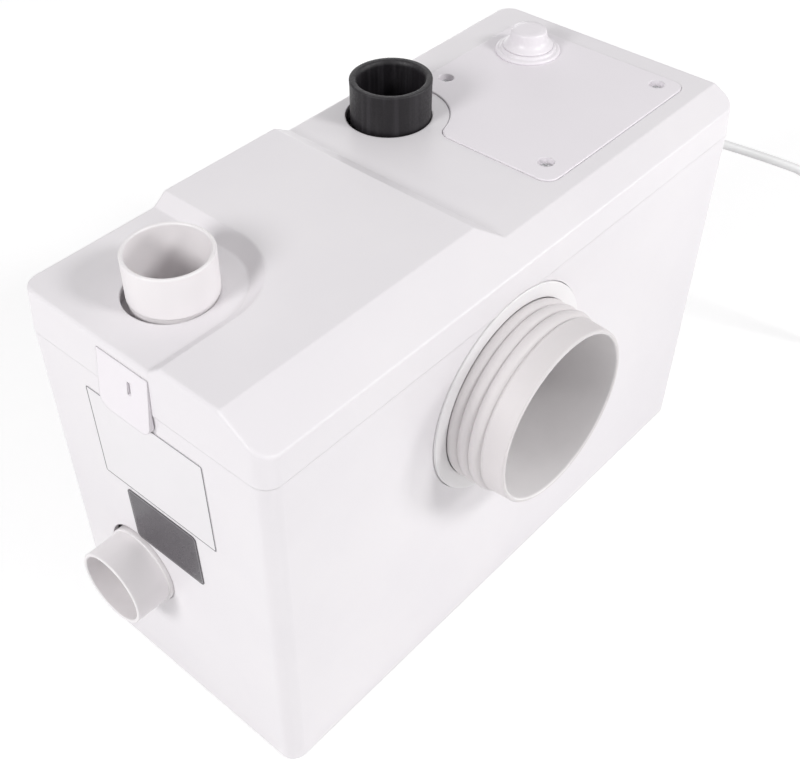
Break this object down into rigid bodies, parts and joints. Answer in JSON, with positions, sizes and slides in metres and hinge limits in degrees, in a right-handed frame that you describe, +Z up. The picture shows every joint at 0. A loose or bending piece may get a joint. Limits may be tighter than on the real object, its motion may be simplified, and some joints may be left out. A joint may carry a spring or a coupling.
{
  "type": "sewage pump",
  "caption": "Macerator sewage pump: stepped white tank and lid with ribbed bowl collar, top and side waste inlets, rubber outlet sleeve, air vent and mains lead.",
  "frame": {"origin": "on the floor under the middle of the tank", "axes": "+Z up, +X along the tank towards the vent's end, -Y towards the bowl's collar"},
  "size_m": [0.6052, 0.391, 0.307],
  "materials": {
    "white_shell": "satin moulded",
    "white_cover": "satin moulded",
    "white_collar": "smooth matt",
    "white_ring": "moulded",
    "white_pipe": "satin moulded",
    "black_rubber": "smooth matt",
    "inner_plastic": "moulded",
    "electric_plastic": "moulded",
    "clear_tube": "smooth",
    "charcoal": "rough",
    "steel": "brushed",
    "painted_can": "satin",
    "iron_core": "laminated",
    "copper_wire": "lacquered wire",
    "white_lead": "satin",
    "pin_metal": "plated",
    "label_film": "printed film, bare",
    "dark_film": "printed film, bare"
  },
  "bodies": {
    "root": {"tank": "white_shell", "lid": "white_shell", "cover_plate": "white_cover", "vent_base": "white_cover", "vent_cap": "white_cover", "inlet_collar": "white_collar", "collar_ring": "white_ring", "top_inlet": "white_pipe", "side_inlet": "white_pipe", "outlet_sleeve": "black_rubber", "floor_pads": "black_rubber", "lid_gasket": "black_rubber", "cover_gasket": "black_rubber", "side_gasket": "black_rubber", "pump_mounts": "black_rubber", "shaft_seal": "black_rubber", "electrics_box": "inner_plastic", "waste_chute": "inner_plastic", "basket": "inner_plastic", "volute": "inner_plastic", "suction_cover": "inner_plastic", "valve_body": "inner_plastic", "outlet_pipe": "inner_plastic", "motor_bracket": "inner_plastic", "terminal_block": "electric_plastic", "switch_housing": "electric_plastic", "micro_switch": "electric_plastic", "thermal_cutout": "electric_plastic", "pressure_tube": "clear_tube", "carbon_filter": "charcoal", "cover_screws": "steel", "pump_screws": "steel", "inlet_pins": "steel", "valve_pin": "steel", "lower_bearing": "steel", "upper_bearing": "steel", "motor_can": "painted_can", "motor_cap": "painted_can", "capacitor": "painted_can", "stator": "iron_core", "windings": "copper_wire", "cable_gland": "white_lead", "inner_lead": "white_lead", "mains_cord": "white_lead", "cord_coil": "white_lead", "mains_plug": "white_lead", "plug_pins": "pin_metal", "info_label": "label_film", "rating_plate": "dark_film"},
    "rotor_unit": {"shaft": "steel", "rotor": "iron_core", "impeller": "inner_plastic", "cutter": "steel"},
    "top_flap_unit": {"top_flap": "white_pipe"},
    "side_flap_unit": {"side_flap": "white_pipe"},
    "valve_flap_unit": {"valve_flap": "inner_plastic"},
    "diaphragm_unit": {"switch_diaphragm": "electric_plastic"},
    "near_latch_unit": {"near_latch": "white_cover"},
    "far_latch_unit": {"far_latch": "white_cover"}
  },
  "joints": [
    {"name": "rotor_spin", "type": "hinge", "parent": "root", "child": "rotor_unit", "pos_m": [0.07, -0.014, 0.11], "axis": [0, 0, 1], "continuous": true},
    {"name": "top_flap_swing", "type": "hinge", "parent": "root", "child": "top_flap_unit", "pos_m": [-0.1915, 0.025, 0.2343], "axis": [0, 1, 0], "range_deg": [0, 70], "stiffness_Nm_per_rad": 0.004, "springref_deg": -57.3},
    {"name": "side_flap_swing", "type": "hinge", "parent": "root", "child": "side_flap_unit", "pos_m": [-0.1873, 0.028, 0.129], "axis": [0, -1, 0], "range_deg": [0, 70], "stiffness_Nm_per_rad": 0.003, "springref_deg": -34.38},
    {"name": "valve_flap_swing", "type": "hinge", "parent": "root", "child": "valve_flap_unit", "pos_m": [0.045, 0.072, 0.2107], "axis": [-1, 0, 0], "range_deg": [0, 50]},
    {"name": "diaphragm_lift", "type": "slide", "parent": "root", "child": "diaphragm_unit", "axis": [0, 0, 1], "range_m": [0, 0.002], "stiffness_N_per_m": 200, "springref_m": -0.002},
    {"name": "near_latch_flex", "type": "hinge", "parent": "root", "child": "near_latch_unit", "pos_m": [-0.2111, 0.008, 0.273], "axis": [0, 1, 0], "range_deg": [0, 8], "stiffness_Nm_per_rad": 0.4, "springref_deg": -2.86},
    {"name": "far_latch_flex", "type": "hinge", "parent": "root", "child": "far_latch_unit", "pos_m": [0.2111, 0.008, 0.273], "axis": [0, -1, 0], "range_deg": [0, 8], "stiffness_Nm_per_rad": 0.4, "springref_deg": -2.86}
  ]
}
